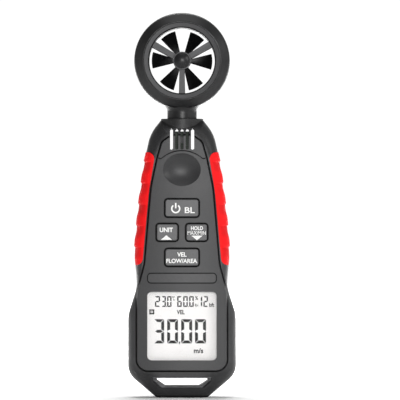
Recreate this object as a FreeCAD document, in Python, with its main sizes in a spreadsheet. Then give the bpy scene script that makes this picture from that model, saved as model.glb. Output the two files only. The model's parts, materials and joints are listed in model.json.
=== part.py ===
import FreeCAD, Part
import math
import os
import re
import Sketcher
from FreeCAD import Placement, Rotation, Vector

# Handheld vane anemometer. Millimetres. +Z runs up the instrument, the display faces -Y,
# and the origin is the centre of the flat foot, midway between the key tops and the back.

SIZES = {
    # Case outline, as half widths and heights of its corner points, and their rounding.
    "foot_half": 11.8,
    "foot_round": 8.0,
    "foot_sink": 0.5,
    "corner_z": 12.2,
    "corner_round": 10.0,
    "belly_half": 27.1,
    "belly_z": 41.4,
    "belly_round": 20.0,
    "waist_half": 22.4,
    "waist_z": 55.5,
    "waist_round": 20.0,
    "hip_half": 23.8,
    "hip_z": 70.0,
    "hip_round": 60.0,
    "shoulder_half": 18.3,
    "shoulder_z": 121.0,
    "shoulder_round": 30.0,
    "brow_half": 15.9,
    "brow_z": 131.8,
    "brow_round": 20.0,
    "crown_half": 10.8,
    "crown_z": 138.2,
    # Depth of the case each side of the parting plane, and how the outline shrinks towards each face.
    "front_depth": 13.0,
    "back_depth": 14.6,
    "corner_follow": 0.55,
    "foot_follow": 0.3,
    "waist_follow": 0.25,
    "shoulder_follow": 0.3,
    "brow_follow": 0.7,
    "share_0": 0.0,
    "inset_0": 0.0,
    "rise_0": 0.0,
    "drop_0": 0.0,
    "share_1": 0.46,
    "inset_1": 0.1,
    "rise_1": 0.1,
    "drop_1": 0.9,
    "share_2": 0.77,
    "inset_2": 1.0,
    "rise_2": 3.0,
    "drop_2": 3.2,
    "share_3": 0.94,
    "inset_3": 2.6,
    "rise_3": 7.0,
    "drop_3": 5.2,
    "share_4": 1.0,
    "inset_4": 5.0,
    "rise_4": 12.0,
    "drop_4": 7.5,
    # Cavity, walls and the ledge round the control panel.
    "wall": 2.4,
    "back_wall": 3.0,
    "cavity_floor_z": 15.0,
    "cavity_top_z": 122.0,
    "cavity_front": 10.2,
    "cavity_back": 12.2,
    "chamber_half": 8.2,
    "chamber_low_z": 121.5,
    "chamber_top_z": 134.4,
    "ledge": 2.0,
    # Raised control panel.
    "panel_front": 14.0,
    "panel_rear": 11.6,
    "panel_gap": 0.25,
    "panel_foot_z": 13.2,
    "panel_half": 22.9,
    "panel_corner": 6.3,
    "panel_hip_z": 51.5,
    "panel_waist_half": 18.9,
    "panel_waist_z": 67.0,
    "panel_neck_half": 15.7,
    "panel_neck_z": 105.0,
    "panel_throat_half": 12.6,
    "panel_throat_z": 119.8,
    "panel_brow_half": 10.2,
    "panel_brow_z": 128.0,
    "panel_top_half": 5.2,
    "panel_top_z": 131.4,
    "bevel_in": 2.2,
    "bevel_down": 0.7,
    # Oval thumb dish, and the seam arched over it with its ends turned up.
    "dish_z": 113.9,
    "dish_half": 9.4,
    "dish_rise": 8.2,
    "dish_depth": 3.0,
    "dish_boss": 10.6,
    "dish_boss_rear": 9.6,
    "seam_radius": 15.3,
    "seam_peak_z": 128.1,
    "seam_low_x": 10.6,
    "seam_low_z": 119.45,
    "seam_turn": 1.2,
    "seam_end_x": 12.4,
    "seam_end_z": 120.3,
    "seam_width": 0.55,
    "seam_depth": 0.7,
    # Vent slots through both shells.
    "slot_low_z": 123.9,
    "slot_high_z": 134.2,
    "slot_width": 1.6,
    "slot_pitch": 2.64,
    # Display window, lens and stack.
    "window_half": 17.3,
    "window_low_z": 18.8,
    "window_high_z": 53.0,
    "window_round": 2.2,
    "lens_gap": 0.1,
    "lens_flange": 1.5,
    "lens_flange_front": 12.5,
    "lens_front": 13.8,
    "glass_front": 11.5,
    "glass_rear": 9.7,
    "glass_margin": 1.2,
    "backlight_rear": 7.4,
    "frame_wall": 1.2,
    "frame_front": 10.1,
    "zebra_height": 1.8,
    # Name plate recess.
    "plate_half": 17.4,
    "plate_low_z": 57.1,
    "plate_high_z": 62.5,
    "plate_round": 2.0,
    "plate_depth": 0.6,
    "plate_gap": 0.5,
    # Keys: openings in the panel, caps, flanges, domes and contact pills.
    "key_gap": 0.85,
    "key_round": 2.1,
    "key_front": 14.6,
    "wide_key_half": 9.05,
    "power_low_z": 89.7,
    "power_high_z": 99.8,
    "small_key_half": 5.95,
    "small_key_x": 7.35,
    "small_low_z": 77.7,
    "small_high_z": 87.5,
    "mode_low_z": 65.2,
    "mode_high_z": 75.1,
    "key_flange": 0.7,
    "key_flange_front": 11.4,
    "key_base": 9.2,
    "pill_radius": 1.8,
    "pill_rear": 7.4,
    "dome_low_half": 3.9,
    "dome_top_half": 2.9,
    "dome_wall": 0.5,
    "mat_front": 7.1,
    "mat_low_z": 63.6,
    "mat_high_z": 101.2,
    "mat_half": 15.2,
    # Circuit board and what stands on it.
    "board_front": 6.2,
    "board_rear": 4.6,
    "board_low_z": 17.0,
    "board_half": 22.2,
    "board_belly_z": 40.0,
    "board_waist_half": 18.2,
    "board_waist_z": 55.5,
    "board_neck_half": 15.2,
    "board_neck_z": 103.0,
    "board_tip_half": 8.6,
    "board_tip_z": 104.5,
    "board_high_z": 121.4,
    # Sensor board behind the vent slots.
    "probe_half": 4.0,
    "probe_low_z": 114.0,
    "probe_high_z": 133.0,
    "probe_front": 8.8,
    "probe_rear": 7.8,
    # Lanyard slot.
    "strap_top_half": 12.6,
    "strap_low_half": 8.6,
    "strap_low_z": 5.7,
    "strap_mid_z": 8.3,
    "strap_high_z": 9.9,
    "strap_bevel_rear": 9.5,
    "strap_bevel_low_half": 12.6,
    "strap_bevel_half": 15.4,
    "strap_bevel_low_z": 4.4,
    "strap_bevel_mid_z": 7.9,
    # Red side grips and the saw-toothed ribs along them.
    "grip_low_z": 66.3,
    "grip_high_z": 122.6,
    "grip_low_in": 19.8,
    "grip_mid_in": 16.4,
    "grip_mid_z": 103.5,
    "grip_high_in": 13.2,
    "grip_round": 3.4,
    "grip_mid_round": 80.0,
    "grip_reach": 32.0,
    "grip_floor": 1.5,
    "grip_root": 10.0,
    "grip_top_z": 127.0,
    "rib_first_z": 75.0,
    "rib_pitch": 10.65,
    "rib_step": 0.9,
    "rib_crest": 4.5,
    "rib_end": 7.9,
    "rib_height": 0.6,
    "rib_bow": 0.6,
    "rib_mid_z": 95.0,
    "rib_span": 25.0,
    # Battery bay, cells, contacts and cover.
    "cell_radius": 5.2,
    "cell_pitch": 10.9,
    "cell_can": 43.4,
    "cell_low_z": 23.2,
    "cell_y": 7.0,
    "nub_radius": 1.9,
    "nub_height": 1.0,
    "bay_half": 16.9,
    "bay_low_z": 19.8,
    "bay_high_z": 70.6,
    "bay_wall": 1.4,
    "bay_floor": 1.5,
    "contact_plate": 0.4,
    "contact_size": 8.4,
    "spring_wire": 0.25,
    "spring_wide": 3.4,
    "spring_turns": 3.0,
    "cover_half": 18.0,
    "cover_low_z": 18.4,
    "cover_high_z": 77.6,
    "cover_round": 3.0,
    "cover_gap": 0.2,
    "cover_rear": 12.6,
    "cover_boss_z": 74.4,
    "cover_boss_radius": 2.6,
    # Screws and their bosses.
    "boss_radius": 2.5,
    "low_screw_x": 22.0,
    "low_screw_z": 14.2,
    "high_screw_x": 13.0,
    "high_screw_z": 107.5,
    "screw_shank": 1.1,
    "screw_clear": 1.35,
    "screw_head": 1.9,
    "screw_head_height": 1.5,
    "screw_seat": 6.0,
    "screw_pocket": 2.1,
    "screw_length": 12.0,
    "cross_width": 0.5,
    "cross_reach": 1.2,
    "cross_depth": 0.8,
    # Swivelling neck in its boss on top of the case.
    "boss_out": 10.6,
    "boss_top_z": 139.4,
    "boss_low_z": 130.0,
    "lip_low_z": 138.0,
    "neck_radius": 7.35,
    "neck_clear": 0.15,
    "flange_radius": 9.0,
    "flange_clear": 0.2,
    "flange_low_z": 136.2,
    "flange_high_z": 137.85,
    "socket_low_z": 135.8,
    "washer_height": 0.3,
    "lead_hole": 3.0,
    "stop_inner": 8.1,
    "stop_half_width": 0.8,
    "stop_clear_angle": 95.8,
    # Vane head: radii from the rotor axis and depths from its middle.
    "head_z": 168.4,
    "ring_out": 23.9,
    "ring_edge": 7.4,
    "ring_round": 2.5,
    "ring_crest": 19.65,
    "crest_round": 0.6,
    "ring_face": 11.0,
    "ring_trim": 22.95,
    "rebate_radius": 19.3,
    "rebate_depth": 8.8,
    "seat_radius": 17.6,
    "sleeve_out": 17.5,
    "duct_radius": 16.4,
    "funnel_front": 9.9,
    "funnel_back": 9.0,
    "flare_low": 22.9,
    "flare_round": 4.0,
    "flare_radius": 10.6,
    "flare_high": 21.45,
    "neck_root": 20.2,
    "neck_bore": 4.6,
    "neck_bore_top": 21.6,
    "head_screw_circle": 20.9,
    "head_screw_shank": 0.7,
    "head_screw_head": 1.15,
    "head_screw_pocket": 1.35,
    "head_screw_seat": 6.5,
    "head_screw_head_height": 1.1,
    "head_screw_length": 10.0,
    "spoke_root": 1.3,
    "spoke_tip": 1.6,
    "spoke_front": 8.9,
    "spoke_rear": 6.9,
    "hub_radius": 4.45,
    "hub_front": 9.6,
    "hub_rear": 5.4,
    "cap_radius": 3.9,
    "cap_seat": 9.2,
    "cap_front": 11.2,
    "cap_dome": 1.6,
    "bearing_radius": 1.5,
    "bearing_bore": 0.53,
    "bearing_front": 7.6,
    "axle_radius": 0.5,
    "axle_half": 7.4,
    # Rotor.
    "rotor_hub": 3.9,
    "rotor_hub_half": 4.6,
    "rotor_tip": 15.2,
    "blade_root": 3.2,
    "blade_end": 16.0,
    "blade_spread": 0.278,
    "blade_half_depth": 3.1,
    "blade_half_thick": 0.4,
    "rotor_rest_angle": 1.5,
    "magnet_out": 3.0,
    "magnet_in": 1.2,
    "magnet_depth": 1.4,
    "hall_half": 1.3,
    "hall_high": 1.8,
    "hall_low": 3.9,
    "hall_depth": 1.2,
    "flex_half": 0.7,
    "flex_thick": 0.25,
    "flex_end": 17.0,
    "lead_radius": 0.45,
    "lead_slot_half": 1.1,
    "lead_slot_y": 7.4,
}
BLADES = 6
SPOKES = 3
RIBS = 5
VENT_SLOTS = 5
LEVELS = 5
FAR = 60.0
FRONT = "-1"
BACK = "1"

doc = FreeCAD.newDocument("vane_anemometer")
sheet = doc.addObject("Spreadsheet::Sheet", "sizes")
WORD = re.compile(r"[a-z_][a-z_0-9]*")
nodes = []


# ---------------------------------------------------------------- sheet, expressions and helpers


def fill_sheet():
    for row, (alias, value) in enumerate(SIZES.items(), start=1):
        sheet.set(f"A{row}", alias)
        sheet.set(f"B{row}", str(value))
        sheet.setAlias(f"B{row}", alias)
    doc.recompute()


def linked(text):
    """An expression with each alias turned into a link to its cell."""
    return WORD.sub(lambda m: "sizes." + m.group(0) if m.group(0) in SIZES else m.group(0), str(text))


def number(text):
    """The present value of an expression, in millimetres or degrees."""
    found = sheet.evalExpression(linked(text))
    return float(getattr(found, "Value", found))


def bind(thing, **settings):
    """Ties each property, its dots written as double underscores, to an expression of cells."""
    for name, text in settings.items():
        thing.setExpression(name.replace("__", "."), linked(text))
    return thing


def node(thing, label):
    """Names a finished sub-part."""
    thing.Label = label
    nodes.append(thing)
    return thing


def new_body(name, z="0", angle=None):
    body = doc.addObject("PartDesign::Body", name)
    bind(body, Placement__Base__z=z)
    if angle is not None:
        body.Placement.Rotation = Rotation(Vector(0, 1, 0), number(angle))
    return body


def origin_feature(body, role):
    return next(f for f in body.Origin.OriginFeatures if f.Role == role)


def circle(x, y, radius):
    return ("circle", x, y, radius)


def box_loop(x0, y0, x1, y1, radius="0"):
    """A rectangle whose four corners share one rounding."""
    return [(x0, y0, radius), (x1, y0, radius), (x1, y1, radius), (x0, y1, radius)]


def mirrored(half):
    """A closed loop from its right-hand points, listed from the bottom up."""
    return half + [(f"-({x})", y, r) for x, y, r in reversed(half)]


def constrain(sketch, kind, *args, text=None):
    index = sketch.addConstraint(Sketcher.Constraint(kind, *args))
    if text is not None:
        sketch.setExpression(f"Constraints[{index}]", linked(text))


def draw_circle(sketch, x, y, radius):
    centre = Vector(number(x), number(y), 0)
    shape = sketch.addGeometry(Part.Circle(centre, Vector(0, 0, 1), number(radius)), False)
    constrain(sketch, "DistanceX", shape, 3, centre.x, text=x)
    constrain(sketch, "DistanceY", shape, 3, centre.y, text=y)
    constrain(sketch, "Radius", shape, number(radius), text=radius)


def corner_arc(before, corner, after, radius):
    """Where a rounding leaves and rejoins its two straight sides, its centre, and if it turns left."""
    into, out = (before - corner).normalize(), (after - corner).normalize()
    angle = into.getAngle(out)
    reach = radius / math.tan(angle / 2)
    centre = corner + (into + out).normalize() * (radius / math.sin(angle / 2))
    return corner + into * reach, corner + out * reach, centre, into.cross(out).z < 0


def draw_loop(sketch, points):
    """A closed loop of straight sides, each corner a named point rounded by a tangent arc."""
    at = [Vector(number(x), number(y), 0) for x, y, _ in points]
    radii = [number(r) for _, _, r in points]
    count = len(points)
    corners = []
    for i in range(count):
        if radii[i] > 0:
            corners.append(corner_arc(at[i - 1], at[i], at[(i + 1) % count], radii[i]))
        else:
            corners.append((at[i], at[i], None, True))
    lines = []
    for i in range(count):
        side = Part.LineSegment(corners[i][1], corners[(i + 1) % count][0])
        lines.append(sketch.addGeometry(side, False))
    for i, (x, y, radius) in enumerate(points):
        before, after = lines[i - 1], lines[i]
        leave, rejoin, centre, left = corners[i]
        if centre is None:
            constrain(sketch, "Coincident", before, 2, after, 1)
            constrain(sketch, "DistanceX", after, 1, at[i].x, text=x)
            constrain(sketch, "DistanceY", after, 1, at[i].y, text=y)
            continue
        start, end = (leave, rejoin) if left else (rejoin, leave)
        angles = [math.atan2(p.y - centre.y, p.x - centre.x) for p in (start, end)]
        round_ = Part.Circle(centre, Vector(0, 0, 1), radii[i])
        arc = sketch.addGeometry(Part.ArcOfCircle(round_, *angles), False)
        constrain(sketch, "Tangent", before, 2, arc, 1 if left else 2)
        constrain(sketch, "Tangent", arc, 2 if left else 1, after, 1)
        constrain(sketch, "Radius", arc, radii[i], text=radius)
        point = sketch.addGeometry(Part.Point(at[i]), True)
        constrain(sketch, "PointOnObject", point, 1, before)
        constrain(sketch, "PointOnObject", point, 1, after)
        constrain(sketch, "DistanceX", point, 1, at[i].x, text=x)
        constrain(sketch, "DistanceY", point, 1, at[i].y, text=y)


def new_sketch(body, role, loops, lift="0"):
    """A fully constrained sketch on one of the body's own planes, lifted along that plane's normal."""
    sketch = body.newObject("Sketcher::SketchObject", "sketch")
    sketch.AttachmentSupport = (origin_feature(body, role), "")
    sketch.MapMode = "FlatFace"
    bind(sketch, AttachmentOffset__Base__z=lift)
    for loop in loops:
        if loop[0] == "circle":
            draw_circle(sketch, *loop[1:])
        else:
            draw_loop(sketch, loop)
    return sketch


def feature(body, kind, profile, reverse=False, **settings):
    made = body.newObject("PartDesign::" + kind, kind.lower())
    made.Profile = profile
    made.Reversed = reverse
    bind(made, **settings)
    profile.Visibility = False
    return made


def pad_y(body, loops, low, high):
    """Adds an outline drawn in X and Z, from one depth to a deeper one."""
    profile = new_sketch(body, "XZ_Plane", loops, f"-({low})")
    return feature(body, "Pad", profile, True, Length=f"({high}) - ({low})")


def pocket_y(body, loops, low, high):
    """Cuts an outline drawn in X and Z, from one depth to a deeper one."""
    profile = new_sketch(body, "XZ_Plane", loops, f"-({low})")
    return feature(body, "Pocket", profile, Length=f"({high}) - ({low})")


def pad_z(body, loops, low, high):
    profile = new_sketch(body, "XY_Plane", loops, low)
    return feature(body, "Pad", profile, Length=f"({high}) - ({low})")


def pocket_z(body, loops, low, high):
    profile = new_sketch(body, "XY_Plane", loops, low)
    return feature(body, "Pocket", profile, True, Length=f"({high}) - ({low})")


def turned(body, kind, role, loops, angle="360", reverse=False):
    """A revolution or groove about the sketch's own vertical axis."""
    profile = new_sketch(body, role, loops)
    made = feature(body, kind, profile, reverse, Angle=angle)
    made.ReferenceAxis = (profile, ["V_Axis"])
    return made


def repeat_round(body, original, axis_role, times):
    pattern = body.newObject("PartDesign::PolarPattern", "pattern")
    pattern.Originals = [original]
    pattern.Axis = (origin_feature(body, axis_role), [""])
    pattern.Angle = 360
    pattern.Occurrences = times
    body.Tip = pattern
    return pattern


def block(name, x0, y0, z0, x1, y1, z1):
    """A plain box between two corners."""
    made = doc.addObject("Part::Box", name)
    bind(made, Length=f"({x1}) - ({x0})", Width=f"({y1}) - ({y0})", Height=f"({z1}) - ({z0})")
    return bind(made, Placement__Base__x=x0, Placement__Base__y=y0, Placement__Base__z=z0)


def rod(name, radius, x, y, z, length, direction=(0, 0, 1)):
    """A plain cylinder that starts at a point and runs along a direction."""
    made = doc.addObject("Part::Cylinder", name)
    made.Placement.Rotation = Rotation(Vector(0, 0, 1), Vector(*direction))
    bind(made, Radius=radius, Height=length)
    return bind(made, Placement__Base__x=x, Placement__Base__y=y, Placement__Base__z=z)


def cut(name, base, *tools):
    made = doc.addObject("Part::Cut", name)
    made.Base = base
    made.Tool = tools[0] if len(tools) == 1 else fuse(name + "_tools", *tools)
    return made


def fuse(name, *shapes):
    made = doc.addObject("Part::MultiFuse", name)
    made.Shapes = list(shapes)
    return made


def common(name, *shapes):
    made = doc.addObject("Part::MultiCommon", name)
    made.Shapes = list(shapes)
    return made


def group(name, *shapes):
    made = doc.addObject("Part::Compound", name)
    made.Links = list(shapes)
    return made


# ---------------------------------------------------------------- case form, shared by shells and grips


def case_outline(level, shrink):
    """The case's outline at one level between its parting plane and a face."""
    inset = f"inset_{level} + {shrink}"
    rise, drop = f"rise_{level}", f"drop_{level}"
    return mirrored(
        [
            (f"foot_half - foot_follow * ({inset})", f"{rise} + {shrink} - foot_sink", "foot_round"),
            (f"belly_half - ({inset})", f"corner_z + corner_follow * {rise}", "corner_round"),
            (f"belly_half - ({inset})", "belly_z", "belly_round"),
            (f"waist_half - waist_follow * inset_{level} - {shrink}", "waist_z", "waist_round"),
            (f"hip_half - ({inset})", "hip_z", "hip_round"),
            (f"shoulder_half - ({inset})", f"shoulder_z - shoulder_follow * {drop}", "shoulder_round"),
            (f"brow_half - ({inset})", f"brow_z - brow_follow * {drop}", "brow_round"),
            (f"crown_half - ({inset})", f"crown_z - {drop} - {shrink}", "0"),
        ]
    )


def add_form(body, side, shrink="0"):
    """The pillow-shaped half of the case on one side of the parting plane, with its foot cut flat."""
    depth = "front_depth" if side == FRONT else "back_depth"
    levels = []
    for level in range(LEVELS):
        lift = f"-({side}) * share_{level} * ({depth} - {shrink})"
        levels.append(new_sketch(body, "XZ_Plane", [case_outline(level, shrink)], lift))
    loft = body.newObject("PartDesign::AdditiveLoft", "loft")
    loft.Profile = levels[0]
    loft.Sections = levels[1:]
    for level in levels:
        level.Visibility = False
    below = box_loop(f"-{FAR}", f"-{FAR}", f"{FAR}", "0")
    trim = feature(body, "Pocket", new_sketch(body, "XZ_Plane", [below]))
    trim.Type = 1
    trim.Midplane = True
    return body


def case_form(name, side, shrink="0"):
    return add_form(new_body(name), side, shrink)


# ---------------------------------------------------------------- outlines drawn on the front of the case


def panel_outline(grow="0"):
    """The control panel's outline, grown outwards by a margin."""
    return mirrored(
        [
            (f"panel_half + {grow}", f"panel_foot_z - ({grow})", "panel_corner"),
            (f"panel_half + {grow}", "panel_hip_z", "12"),
            (f"panel_waist_half + {grow}", "panel_waist_z", "25"),
            (f"panel_neck_half + {grow}", "panel_neck_z", "60"),
            (f"panel_throat_half + {grow}", "panel_throat_z", "25"),
            (f"panel_brow_half + {grow}", f"panel_brow_z + 0.6 * ({grow})", "4.5"),
            (f"panel_top_half + 0.4 * ({grow})", f"panel_top_z + {grow}", "5"),
        ]
    )


def cavity_outline(wall):
    return mirrored(
        [
            (f"belly_half - {wall}", "cavity_floor_z", "4"),
            (f"belly_half - {wall}", "belly_z", "0"),
            (f"waist_half - {wall}", "waist_z", "0"),
            (f"hip_half - {wall} - grip_floor", "hip_z", "0"),
            (f"shoulder_half - {wall} - grip_floor", "shoulder_z", "0"),
            (f"brow_half - {wall} - grip_floor", "cavity_top_z", "0"),
        ]
    )


def window_loop(grow="0"):
    return box_loop(
        f"-(window_half + {grow})",
        f"window_low_z - ({grow})",
        f"window_half + {grow}",
        f"window_high_z + {grow}",
        "window_round",
    )


def vent_loops():
    """The row of upright vent slots."""
    middle = (VENT_SLOTS - 1) / 2
    loops = []
    for i in range(VENT_SLOTS):
        x = f"{i - middle} * slot_pitch"
        left, right = f"{x} - slot_width / 2", f"{x} + slot_width / 2"
        loops.append(box_loop(left, "slot_low_z", right, "slot_high_z", "slot_width / 2 - 0.05"))
    return loops


def strap_loop():
    return mirrored(
        [
            ("strap_low_half", "strap_low_z", "0.8"),
            ("strap_top_half", "strap_mid_z", "0.5"),
            ("strap_top_half", "strap_high_z", "0.3"),
        ]
    )


def bevel_strap_slot(body):
    """Bevels the front rim of the lanyard slot along its foot and its slanted ends."""
    wide = mirrored(
        [
            ("strap_bevel_low_half", "strap_bevel_low_z", "0.8"),
            ("strap_bevel_half", "strap_bevel_mid_z", "0.5"),
            ("strap_bevel_half", "strap_high_z", "0.3"),
        ]
    )
    inner = new_sketch(body, "XZ_Plane", [strap_loop()], "strap_bevel_rear")
    outer = new_sketch(body, "XZ_Plane", [wide], "front_depth")
    loft = body.newObject("PartDesign::SubtractiveLoft", "bevel")
    loft.Profile = inner
    loft.Sections = [outer]
    loft.Ruled = True


def key_loop(key, grow="0"):
    """A key opening's outline, grown or shrunk by a margin. KEYS gives its place."""
    x, half, low, high = KEYS[key]
    return box_loop(
        f"{x} - {half} - ({grow})",
        f"{low} - ({grow})",
        f"{x} + {half} + {grow}",
        f"{high} + {grow}",
        f"key_round + {grow}",
    )


KEYS = {
    "power_key": ("0", "wide_key_half", "power_low_z", "power_high_z"),
    "unit_key": ("-small_key_x", "small_key_half", "small_low_z", "small_high_z"),
    "hold_key": ("small_key_x", "small_key_half", "small_low_z", "small_high_z"),
    "mode_key": ("0", "wide_key_half", "mode_low_z", "mode_high_z"),
}
CASE_SCREWS = [
    ("low_screw_x", "low_screw_z"),
    ("-low_screw_x", "low_screw_z"),
    ("high_screw_x", "high_screw_z"),
    ("-high_screw_x", "high_screw_z"),
]


# ---------------------------------------------------------------- shells


def add_neck_boss(body, side):
    """Half of the round boss that the swivelling neck turns in."""
    profile = [
        ("0", "boss_low_z", "0"),
        ("boss_out", "boss_low_z", "0"),
        ("boss_out", "boss_top_z", "0.4"),
        ("0", "boss_top_z", "0"),
    ]
    turned(body, "Revolution", "XZ_Plane", [profile], "180", side == FRONT)


def cut_neck_socket(body, side):
    """The socket: a lip that holds the neck's flange down, and a small hole for the lead."""
    profile = [
        ("0", "chamber_top_z - 1", "0"),
        ("lead_hole", "chamber_top_z - 1", "0"),
        ("lead_hole", "socket_low_z", "0"),
        ("flange_radius + flange_clear", "socket_low_z", "0"),
        ("flange_radius + flange_clear", "lip_low_z", "0"),
        ("neck_radius + neck_clear", "lip_low_z", "0"),
        ("neck_radius + neck_clear", "boss_top_z + 1", "0"),
        ("0", "boss_top_z + 1", "0"),
    ]
    turned(body, "Groove", "XZ_Plane", [profile], "180", side == FRONT)


def chamber_loop():
    return box_loop("-chamber_half", "chamber_low_z", "chamber_half", "chamber_top_z")


def grip_prism(name, side):
    """The block of space, in front view, that a side grip fills."""
    body = new_body(name)
    loop = [
        (f"{side} * grip_low_in", "grip_low_z", "grip_round"),
        (f"{side} * grip_reach", "grip_low_z", "0"),
        (f"{side} * grip_reach", "grip_high_z", "0"),
        (f"{side} * grip_high_in", "grip_high_z", "grip_round"),
        (f"{side} * grip_mid_in", "grip_mid_z", "grip_mid_round"),
    ]
    pad_y(body, [loop], "-front_depth - 3", "back_depth + 3")
    return body


def make_front_shell(grip_hollow):
    body = add_form(new_body("front_shell_body"), FRONT)
    add_neck_boss(body, FRONT)
    pocket_y(body, [cavity_outline("wall")], "-cavity_front", "1")
    pocket_y(body, [chamber_loop()], "-cavity_front", "1")
    pocket_y(body, [panel_outline("panel_gap")], "-front_depth - 2", "-panel_rear")
    pocket_y(body, [panel_outline("-ledge")], "-front_depth - 2", "-cavity_front + 1")
    for x, z in CASE_SCREWS:
        pad_y(body, [circle(x, z, "boss_radius")], "-cavity_front - 0.5", "0")
    cut_neck_socket(body, FRONT)
    pocket_y(body, vent_loops(), "-front_depth - 2", "1")
    pocket_y(body, [strap_loop()], "-front_depth - 2", "1")
    bevel_strap_slot(body)
    for x, z in CASE_SCREWS:
        pocket_y(body, [circle(x, z, "screw_shank")], "screw_seat - screw_length", "1")
    return node(cut("front_shell_cut", body, *grip_hollow), "front_shell")


def make_back_shell(grip_hollow):
    body = add_form(new_body("back_shell_body"), BACK)
    add_neck_boss(body, BACK)
    pocket_y(body, [cavity_outline("back_wall")], "-1", "cavity_back")
    pocket_y(body, [chamber_loop()], "-1", "cavity_back")
    bay_outer = box_loop(
        "-(bay_half + bay_wall)", "bay_low_z - bay_wall", "bay_half + bay_wall", "bay_high_z + bay_wall"
    )
    pad_y(body, [bay_outer], "0.2", "cavity_back + 0.3")
    pad_y(body, [circle("0", "cover_boss_z", "cover_boss_radius")], "2", "cavity_back + 0.3")
    for x, z in CASE_SCREWS:
        pad_y(body, [circle(x, z, "boss_radius")], "0", "cavity_back + 0.3")
    bay = box_loop("-bay_half", "bay_low_z", "bay_half", "bay_high_z")
    pocket_y(body, [bay], "bay_floor", "back_depth + 2")
    pocket_y(body, [cover_outline("cover_gap")], "cover_rear - cover_gap", "back_depth + 2")
    pocket_y(body, [circle("0", "cover_boss_z", "screw_shank + 0.1")], "3.2", "back_depth")
    cut_neck_socket(body, BACK)
    pocket_y(body, vent_loops(), "-1", "back_depth + 2")
    pocket_y(body, [strap_loop()], "-1", "back_depth + 2")
    for x, z in CASE_SCREWS:
        pocket_y(body, [circle(x, z, "screw_clear")], "-1", "back_depth")
        pocket_y(body, [circle(x, z, "screw_pocket")], "screw_seat", "back_depth + 2")
    stop = block(
        "swivel_stop",
        "-stop_half_width",
        "stop_inner + 0.15",
        "socket_low_z",
        "stop_half_width",
        "flange_radius + flange_clear + 0.3",
        "lip_low_z",
    )
    return node(fuse("back_shell_fuse", cut("back_shell_cut", body, *grip_hollow), stop), "back_shell")


def grip_outline(level):
    """The right-hand grip's outline at one level: a slightly bowed outer line with saw-toothed ribs."""

    def outer(z, out, radius="0"):
        line = f"hip_half + ({z} - hip_z) * (shoulder_half - hip_half) / (shoulder_z - hip_z)"
        bow = f"rib_bow * (1 - (({z} - rib_mid_z) / rib_span)^2)"
        return (f"{line} + {bow} + {out} - inset_{level}", z, radius)

    points = [
        ("grip_root", "waist_z", "0"),
        (f"waist_half - waist_follow * inset_{level}", "waist_z", "0"),
        (f"hip_half - inset_{level}", "hip_z", "25"),
    ]
    for i in range(RIBS):
        foot = f"rib_first_z + {i} * rib_pitch"
        points.append(outer(f"({foot})", "0"))
        points.append(outer(f"({foot} + rib_step)", "rib_height", "0.5"))
        if i < RIBS - 1:
            points.append(outer(f"({foot} + rib_crest)", "rib_height", "12"))
            points.append(outer(f"({foot} + rib_end)", "0", "12"))
    return points + [outer("grip_top_z", "0"), ("grip_root", "grip_top_z", "0")]


def grip_form(side):
    body = new_body("grip_form")
    depth = "front_depth" if side == FRONT else "back_depth"
    lifts = [f"-({side}) * share_{level} * {depth}" for level in range(LEVELS)]
    levels = [new_sketch(body, "XZ_Plane", [grip_outline(i)], lift) for i, lift in enumerate(lifts)]
    loft = body.newObject("PartDesign::AdditiveLoft", "loft")
    loft.Profile = levels[0]
    loft.Sections = levels[1:]
    for level in levels:
        level.Visibility = False
    return body


def make_grips():
    """Two soft side grips, sunk in the shells, ribbed along their outer sides."""
    core = fuse("core", *[case_form("core_half", side, "grip_floor") for side in (FRONT, BACK)])
    form = fuse("ribbed", *[grip_form(side) for side in (FRONT, BACK)])
    prism = grip_prism("right_grip_prism", "1")
    right = cut("right_grip_cut", common("right_grip_common", form, prism), core)
    left = doc.addObject("Part::Mirroring", "left_grip_mirror")
    left.Source = right
    left.Normal = Vector(1, 0, 0)
    node(right, "right_grip")
    node(left, "left_grip")
    spaces = (prism, grip_prism("left_grip_prism", "-1"))
    return [cut("grip_hollow", space, core) for space in spaces]


# ---------------------------------------------------------------- control panel, lens, plate and keys


def make_front_panel():
    body = new_body("front_panel_body")
    plate = pad_y(body, [panel_outline()], "-panel_front", "-panel_rear")
    doc.recompute()
    face_y = -number("panel_front")
    rim = [
        f"Edge{i + 1}"
        for i, edge in enumerate(plate.Shape.Edges)
        if abs(edge.BoundBox.YMin - face_y) < 0.01 and abs(edge.BoundBox.YMax - face_y) < 0.01
    ]
    bevel = body.newObject("PartDesign::Chamfer", "bevel")
    bevel.Base = (plate, rim)
    bevel.ChamferType = 1
    bind(bevel, Size="bevel_in", Size2="bevel_down")
    doc.recompute()
    if bevel.Shape.BoundBox.YMin < face_y - 0.01 or not bevel.Shape.isValid():
        raise RuntimeError("the panel's bevel failed")
    pad_y(body, [circle("0", "dish_z", "dish_boss")], "-panel_rear - 0.2", "-dish_boss_rear")
    pocket_y(body, [window_loop()], "-panel_front - 1", "-panel_rear + 1")
    pocket_y(body, [window_loop("lens_flange")], "-lens_flange_front", "-panel_rear + 1")
    for key in KEYS:
        pocket_y(body, [key_loop(key)], "-panel_front - 1", "-panel_rear + 1")
    plate_recess = box_loop("-plate_half", "plate_low_z", "plate_half", "plate_high_z", "plate_round")
    pocket_y(body, [plate_recess], "-panel_front - 1", "plate_depth - panel_front")
    pocket_y(body, vent_loops(), "-panel_front - 1", "-dish_boss_rear + 1")
    return node(cut("front_panel_cut", body, dish_cutter(), seam_cutter()), "front_panel")


def dish_cutter():
    """An ellipsoid, half of its depth behind the panel's face, that leaves an oval thumb dish."""
    made = doc.addObject("Part::Ellipsoid", "dish_cutter")
    bind(made, Radius1="dish_rise / sqrt(0.75)", Radius2="dish_half / sqrt(0.75)", Radius3="2 * dish_depth")
    return bind(made, Placement__Base__y="-panel_front - dish_depth", Placement__Base__z="dish_z")


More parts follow.
